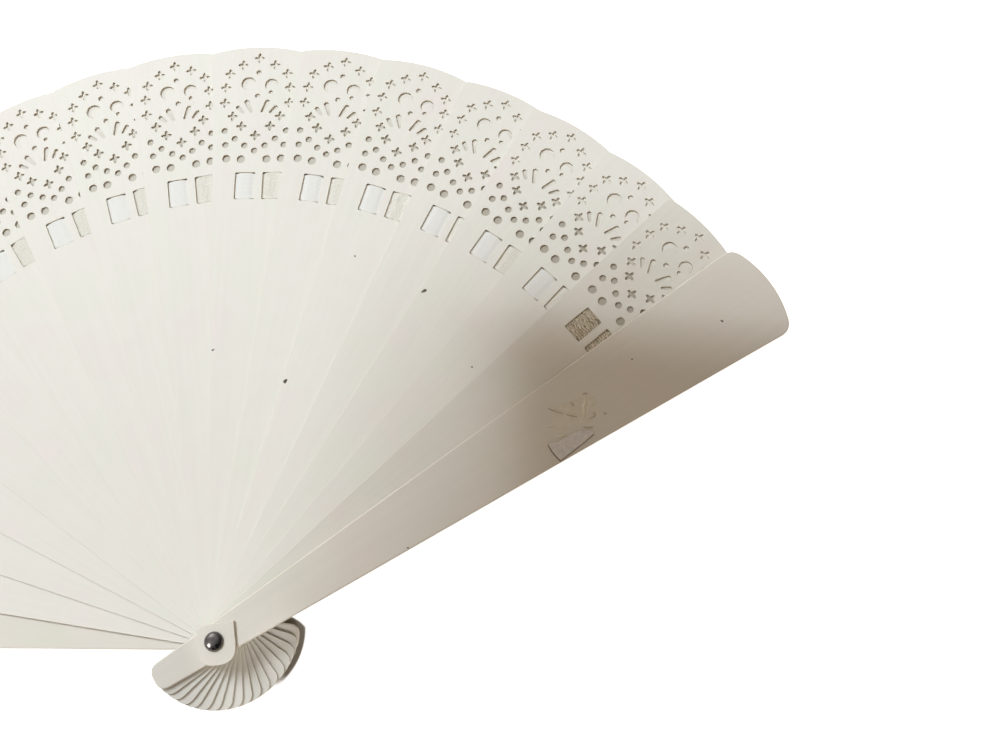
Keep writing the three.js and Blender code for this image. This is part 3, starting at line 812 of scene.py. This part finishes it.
# Leaves of painted shade: a leaf of grey card under each stick's pierced end, not part of the fan. The leaves
#  turn with the sticks. They close the holes from behind in place of a table, and their grey is painted
#  shade:
#  darker high in the stack and paler towards the tips, where more light gets under the sticks.
CARD_INNER = 122
CARD_STEP = (133, 134)
CARD_OUTER = 172.3
CARD_BELOW_RIBBON = 0.28
CARD_BELOW = 0.12
CARD_HALF_SPREAD = 12.6 / 160
CARD_PALE_BELOW = 9.5
CARD_DARK_ABOVE = 12
CARD_PALE_FROM = (148, 156)


def painted_shade_card(name):
    """Matt card painted with shade. The eye gets it darker high in the stack, where less light gets in, and
    paler outwards.
    """
    material, tree, shader = new_material(name)
    place = add_node(tree, "ShaderNodeNewGeometry", {}).outputs["Position"]
    height = add_node(tree, "ShaderNodeSeparateXYZ", {0: place}).outputs["Z"]
    raised = ranged(tree, height, CARD_PALE_BELOW * MM, CARD_DARK_ABOVE * MM)
    reach = add_node(tree, "ShaderNodeVectorMath", {0: place}, operation="LENGTH").outputs["Value"]
    outer = ranged(tree, reach, CARD_PALE_FROM[0] * MM, CARD_PALE_FROM[1] * MM)
    tint = mixed(tree, outer, mixed(tree, raised, "#cdc9be", "#b8b2a5"), "#e6e3da")
    tree.links.new(tint, shader.inputs["Base Color"])
    shader.inputs["Roughness"].default_value = 0.9
    return material


card_rows = [(CARD_INNER, CARD_BELOW_RIBBON), (CARD_STEP[0], CARD_BELOW_RIBBON), (CARD_STEP[1], CARD_BELOW),
             (CARD_OUTER, CARD_BELOW)]
card_points = [(side * y * CARD_HALF_SPREAD * MM, y * MM, -below * MM) for y, below in card_rows
               for side in (-1, 1)]
card_mesh = new_mesh("painted_shade_leaf", card_points, [(i, i + 1, i + 3, i + 2) for i in (0, 2, 4)])
card_mesh.materials.append(painted_shade_card("card_painted_with_shade"))
for blade in blades[1:-1]:
    card = new_object(f"mounting_card_{blade}", card_mesh)
    card.matrix_world = blade_place[blade]
    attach(card, blade)

# Table: a white board, lit so far over white that only the object's deepest shadow greys it. Right beside
#  the tails it isn't, and there the board is painted dark, as painted shade, so that the shadow shows as a
#  dark rim. The width of the table is in metres.
TABLE_WIDTH = 6
TABLE_DROP = 0.2
TABLE_GLOW = 0.86
PAINT_GRAIN = 1.5
RIM_DISCS = [((1.3, 0), 17.8), ((9, -9), 11.2)]
RIM_SOFTNESS = 0.5
RIM_REACH = 6
RIM_OPENNESS = (0.84, 0.94)


def combined(tree, operation, first, second):
    """Two numbers, each a value or a socket, put together by an operation."""
    return add_node(tree, "ShaderNodeMath", {0: first, 1: second}, operation=operation).outputs[0]


def white_board(name):
    """White painted board. It glows for the camera and for glossy things, but not in the rim, which lies
    within two discs round the tails and only where something stands close over the board. In the rim its
    colour is painted dark: painted shade."""
    material, tree, shader = new_material(name)
    place = add_node(tree, "ShaderNodeTexCoord", {}).outputs["Object"]
    grain = clouds(tree, place, 1 / (PAINT_GRAIN * MM), 2)
    outside = []
    for (x, y), radius in RIM_DISCS:
        centre = (x * MM, y * MM, 0)
        away = add_node(tree, "ShaderNodeVectorMath", {0: place, 1: centre}, operation="DISTANCE")
        outside.append(ranged(tree, away.outputs["Value"], radius * MM, (radius + RIM_SOFTNESS) * MM))
    openness = add_node(tree, "ShaderNodeAmbientOcclusion", {"Distance": RIM_REACH * MM}).outputs["AO"]
    share = combined(tree, "MAXIMUM", *outside)
    share = combined(tree, "MAXIMUM", share, ranged(tree, openness, *RIM_OPENNESS))
    path = add_node(tree, "ShaderNodeLightPath", {})
    seen = path.outputs["Is Camera Ray"]
    for kind in ("Is Glossy Ray", "Is Transmission Ray"):
        seen = combined(tree, "MAXIMUM", seen, path.outputs[kind])
    strength = combined(tree, "MULTIPLY", combined(tree, "MULTIPLY", seen, TABLE_GLOW), share)
    glow = add_node(tree, "ShaderNodeEmission", {"Strength": strength}).outputs[0]
    lit = add_node(tree, "ShaderNodeAddShader", {0: shader.outputs[0], 1: glow}).outputs[0]
    # Painted shade: the board's colour is dark in the rim.
    tree.links.new(mixed(tree, share, "#958f85", "#f4f3f0"), shader.inputs["Base Color"])
    tree.links.new(bumped(tree, grain, 0.1, 0.05), shader.inputs["Normal"])
    tree.links.new(lit, tree.nodes["Material Output"].inputs["Surface"])
    shader.inputs["Roughness"].default_value = 0.9
    return material


half = TABLE_WIDTH / 2
table_corners = [(x * half, y * half, 0) for x, y in ((-1, -1), (1, -1), (1, 1), (-1, 1))]
table_mesh = new_mesh("table", table_corners, [(0, 1, 2, 3)])
table_mesh.materials.append(white_board("white_board"))
table = new_object("table", table_mesh)
table.location.z = -TABLE_DROP * MM

# Light: a soft lamp high at the upper left, a small one at the left that glints on the rivet, two narrow
# ones from below that lift the shadows between the tails, and warm light from the room. Two dark cards
# held over the lower right keep the big lamp off that side, as in the photograph. The camera sees the room
# as white, and glossy things see it brighter towards the lamp. Places, radii and reaches are in metres, but
# the corners and heights of the cards are in millimetres.
ROOM_COLOUR = (0.351, 0.285, 0.221)
SKY_COLOUR = (0.95, 0.97, 1)
SKY_SIDE = (-0.25, 0.6, 0.76)
SKY_SPAN = (0.3, 0.85)
SKY_STRENGTH = (0.04, 0.8)
PANE_SIDE = (-0.331, 0.819, 0.469)
PANE_SPAN = (0.91, 0.98)
PANE_STRENGTH = (0, 2.8)
WINDOW_LAMP_PLACE = (-0.29955, 0.72645, 1.01868)
WINDOW_LAMP_AIM = (0, 0.08, 0)
WINDOW_LAMP_COLOUR = (0.834, 0.918, 1)
WINDOW_LAMP_RADIUS = 0.3
WINDOW_LAMP_WATTS = 14.31
GLINT_LAMP_PLACE = (-0.45, -0.171, 0.373)
GLINT_LAMP_AIM = (0, 0, 0.017)
GLINT_LAMP_RADIUS = 0.07
GLINT_LAMP_WATTS = 2.5
TAIL_LAMP_RADIUS = 0.008
# A tail lamp is its name, its place, its aim, its beam in degrees and its watts. A shade card is its name,
# its corner, the angles of its two edges, its height and its reach.
TAIL_LAMPS = [("right_tail_lamp", (0.0367, -0.0516, 0.05), (0.014, -0.003, 0.005), 18, 0.14),
              ("left_tail_lamp", (0.009, -0.0645, 0.05), (0, -0.014, 0.007), 20, 0.08)]
SHADE_CARDS = [("near_shade_card", (72.04, 101.84), -20.67, 75.66, 60.18, 0.5),
               ("far_shade_card", (38.67, 158.98), -22.28, 56.35, 153.86, 0.9)]

world = bpy.data.worlds.new("room")
bpy.context.scene.world = world
world.use_nodes = True
room = world.node_tree
path = add_node(room, "ShaderNodeLightPath", {})
aim = add_node(room, "ShaderNodeTexCoord", {}).outputs["Generated"]
facing = add_node(room, "ShaderNodeVectorMath", {0: aim, 1: SKY_SIDE}, operation="DOT_PRODUCT")
open_sky = ranged(room, facing.outputs["Value"], *SKY_SPAN, *SKY_STRENGTH)
facing = add_node(room, "ShaderNodeVectorMath", {0: aim, 1: PANE_SIDE}, operation="DOT_PRODUCT")
pane = ranged(room, facing.outputs["Value"], *PANE_SPAN, *PANE_STRENGTH)
bright = combined(room, "ADD", open_sky, pane)
warm = room.nodes["Background"]
warm.inputs["Color"].default_value = (*ROOM_COLOUR, 1)
warm.inputs["Strength"].default_value = 1
sky = add_node(room, "ShaderNodeBackground", {"Color": (*SKY_COLOUR, 1), "Strength": bright})
white = add_node(room, "ShaderNodeBackground", {"Color": (1, 1, 1, 1), "Strength": 1})
lit = add_node(room, "ShaderNodeMixShader", {
    0: path.outputs["Is Glossy Ray"], 1: warm.outputs[0], 2: sky.outputs[0]})
seen = combined(room, "MAXIMUM", path.outputs["Is Camera Ray"], path.outputs["Is Transmission Ray"])
lit = add_node(room, "ShaderNodeMixShader", {0: seen, 1: lit.outputs[0], 2: white.outputs[0]})
room.links.new(lit.outputs[0], room.nodes["World Output"].inputs["Surface"])


def hung_lamp(name, kind, place, aim, watts):
    """A lamp of one kind at a place, turned to aim at a point: its light and its object."""
    light = bpy.data.lights.new(name, kind)
    light.energy = watts
    lamp = new_object(name, light)
    lamp.location = place
    lamp.rotation_euler = (Vector(aim) - Vector(place)).to_track_quat("-Z", "Y").to_euler()
    return light, lamp


def round_lamp(name, place, aim, radius, watts):
    """A round soft box."""
    light, lamp = hung_lamp(name, "AREA", place, aim, watts)
    light.shape = "DISK"
    light.size = 2 * radius
    return light, lamp


def narrow_lamp(name, place, aim, beam, watts):
    """A small lamp with a narrow beam, of so many degrees, that only lights what is matt."""
    light, lamp = hung_lamp(name, "SPOT", place, aim, watts)
    light.spot_size = math.radians(beam)
    light.spot_blend = 1
    light.shadow_soft_size = TAIL_LAMP_RADIUS
    lamp.visible_camera = False
    lamp.visible_glossy = False


def shade_card(name, material, corner, first_edge, second_edge, height, reach):
    """A level dark card that only holds light back. It reaches from its corner along two edges, each at
    its angle in degrees."""
    corner = Vector((*corner, height)) * MM
    right = Vector((math.cos(math.radians(first_edge)), math.sin(math.radians(first_edge)), 0)) * reach
    down = Vector((math.cos(math.radians(second_edge)), math.sin(math.radians(second_edge)), 0)) * -reach
    mesh = new_mesh(name, [corner, corner + right, corner + right + down, corner + down], [(0, 1, 2, 3)])
    mesh.materials.append(material)
    card = new_object(name, mesh)
    card.visible_camera = False
    card.visible_glossy = False
    card.visible_diffuse = False
    card.visible_transmission = False


window_light, window_lamp = round_lamp("window_lamp", WINDOW_LAMP_PLACE, WINDOW_LAMP_AIM, WINDOW_LAMP_RADIUS,
                                       WINDOW_LAMP_WATTS)
window_light.color = WINDOW_LAMP_COLOUR
window_lamp.visible_glossy = False
_, glint_lamp = round_lamp("glint_lamp", GLINT_LAMP_PLACE, GLINT_LAMP_AIM, GLINT_LAMP_RADIUS,
                           GLINT_LAMP_WATTS)
glint_lamp.visible_diffuse = False
for name, place, aim, beam, watts in TAIL_LAMPS:
    narrow_lamp(name, place, aim, beam, watts)
black_card, _, shader = new_material("black_card")
shader.inputs["Base Color"].default_value = linear("#1c1814")
shader.inputs["Roughness"].default_value = 1
for name, *form in SHADE_CARDS:
    shade_card(name, black_card, *form)

# Camera: held over the open fan, a little below the rivet's side of it, at the photograph's angle. Its
# place and its reach are in metres, its turns in degrees.
CAMERA_PLACE = (0.08099, 0.01076, 0.21985)
CAMERA_TURNS = (10.8767, 0.8254, -14.5768)
CAMERA_REACH = (0.01, 20)
SENSOR_WIDTH = 36
FOCAL_LENGTH = 27.52

camera = bpy.data.cameras.new("camera")
camera.sensor_width = SENSOR_WIDTH
camera.lens = FOCAL_LENGTH
camera.clip_start, camera.clip_end = CAMERA_REACH
eye = new_object("camera", camera)
eye.location = CAMERA_PLACE
eye.rotation_euler = [math.radians(angle) for angle in CAMERA_TURNS]
bpy.context.scene.camera = eye
bpy.context.scene.view_settings.view_transform = "Standard"
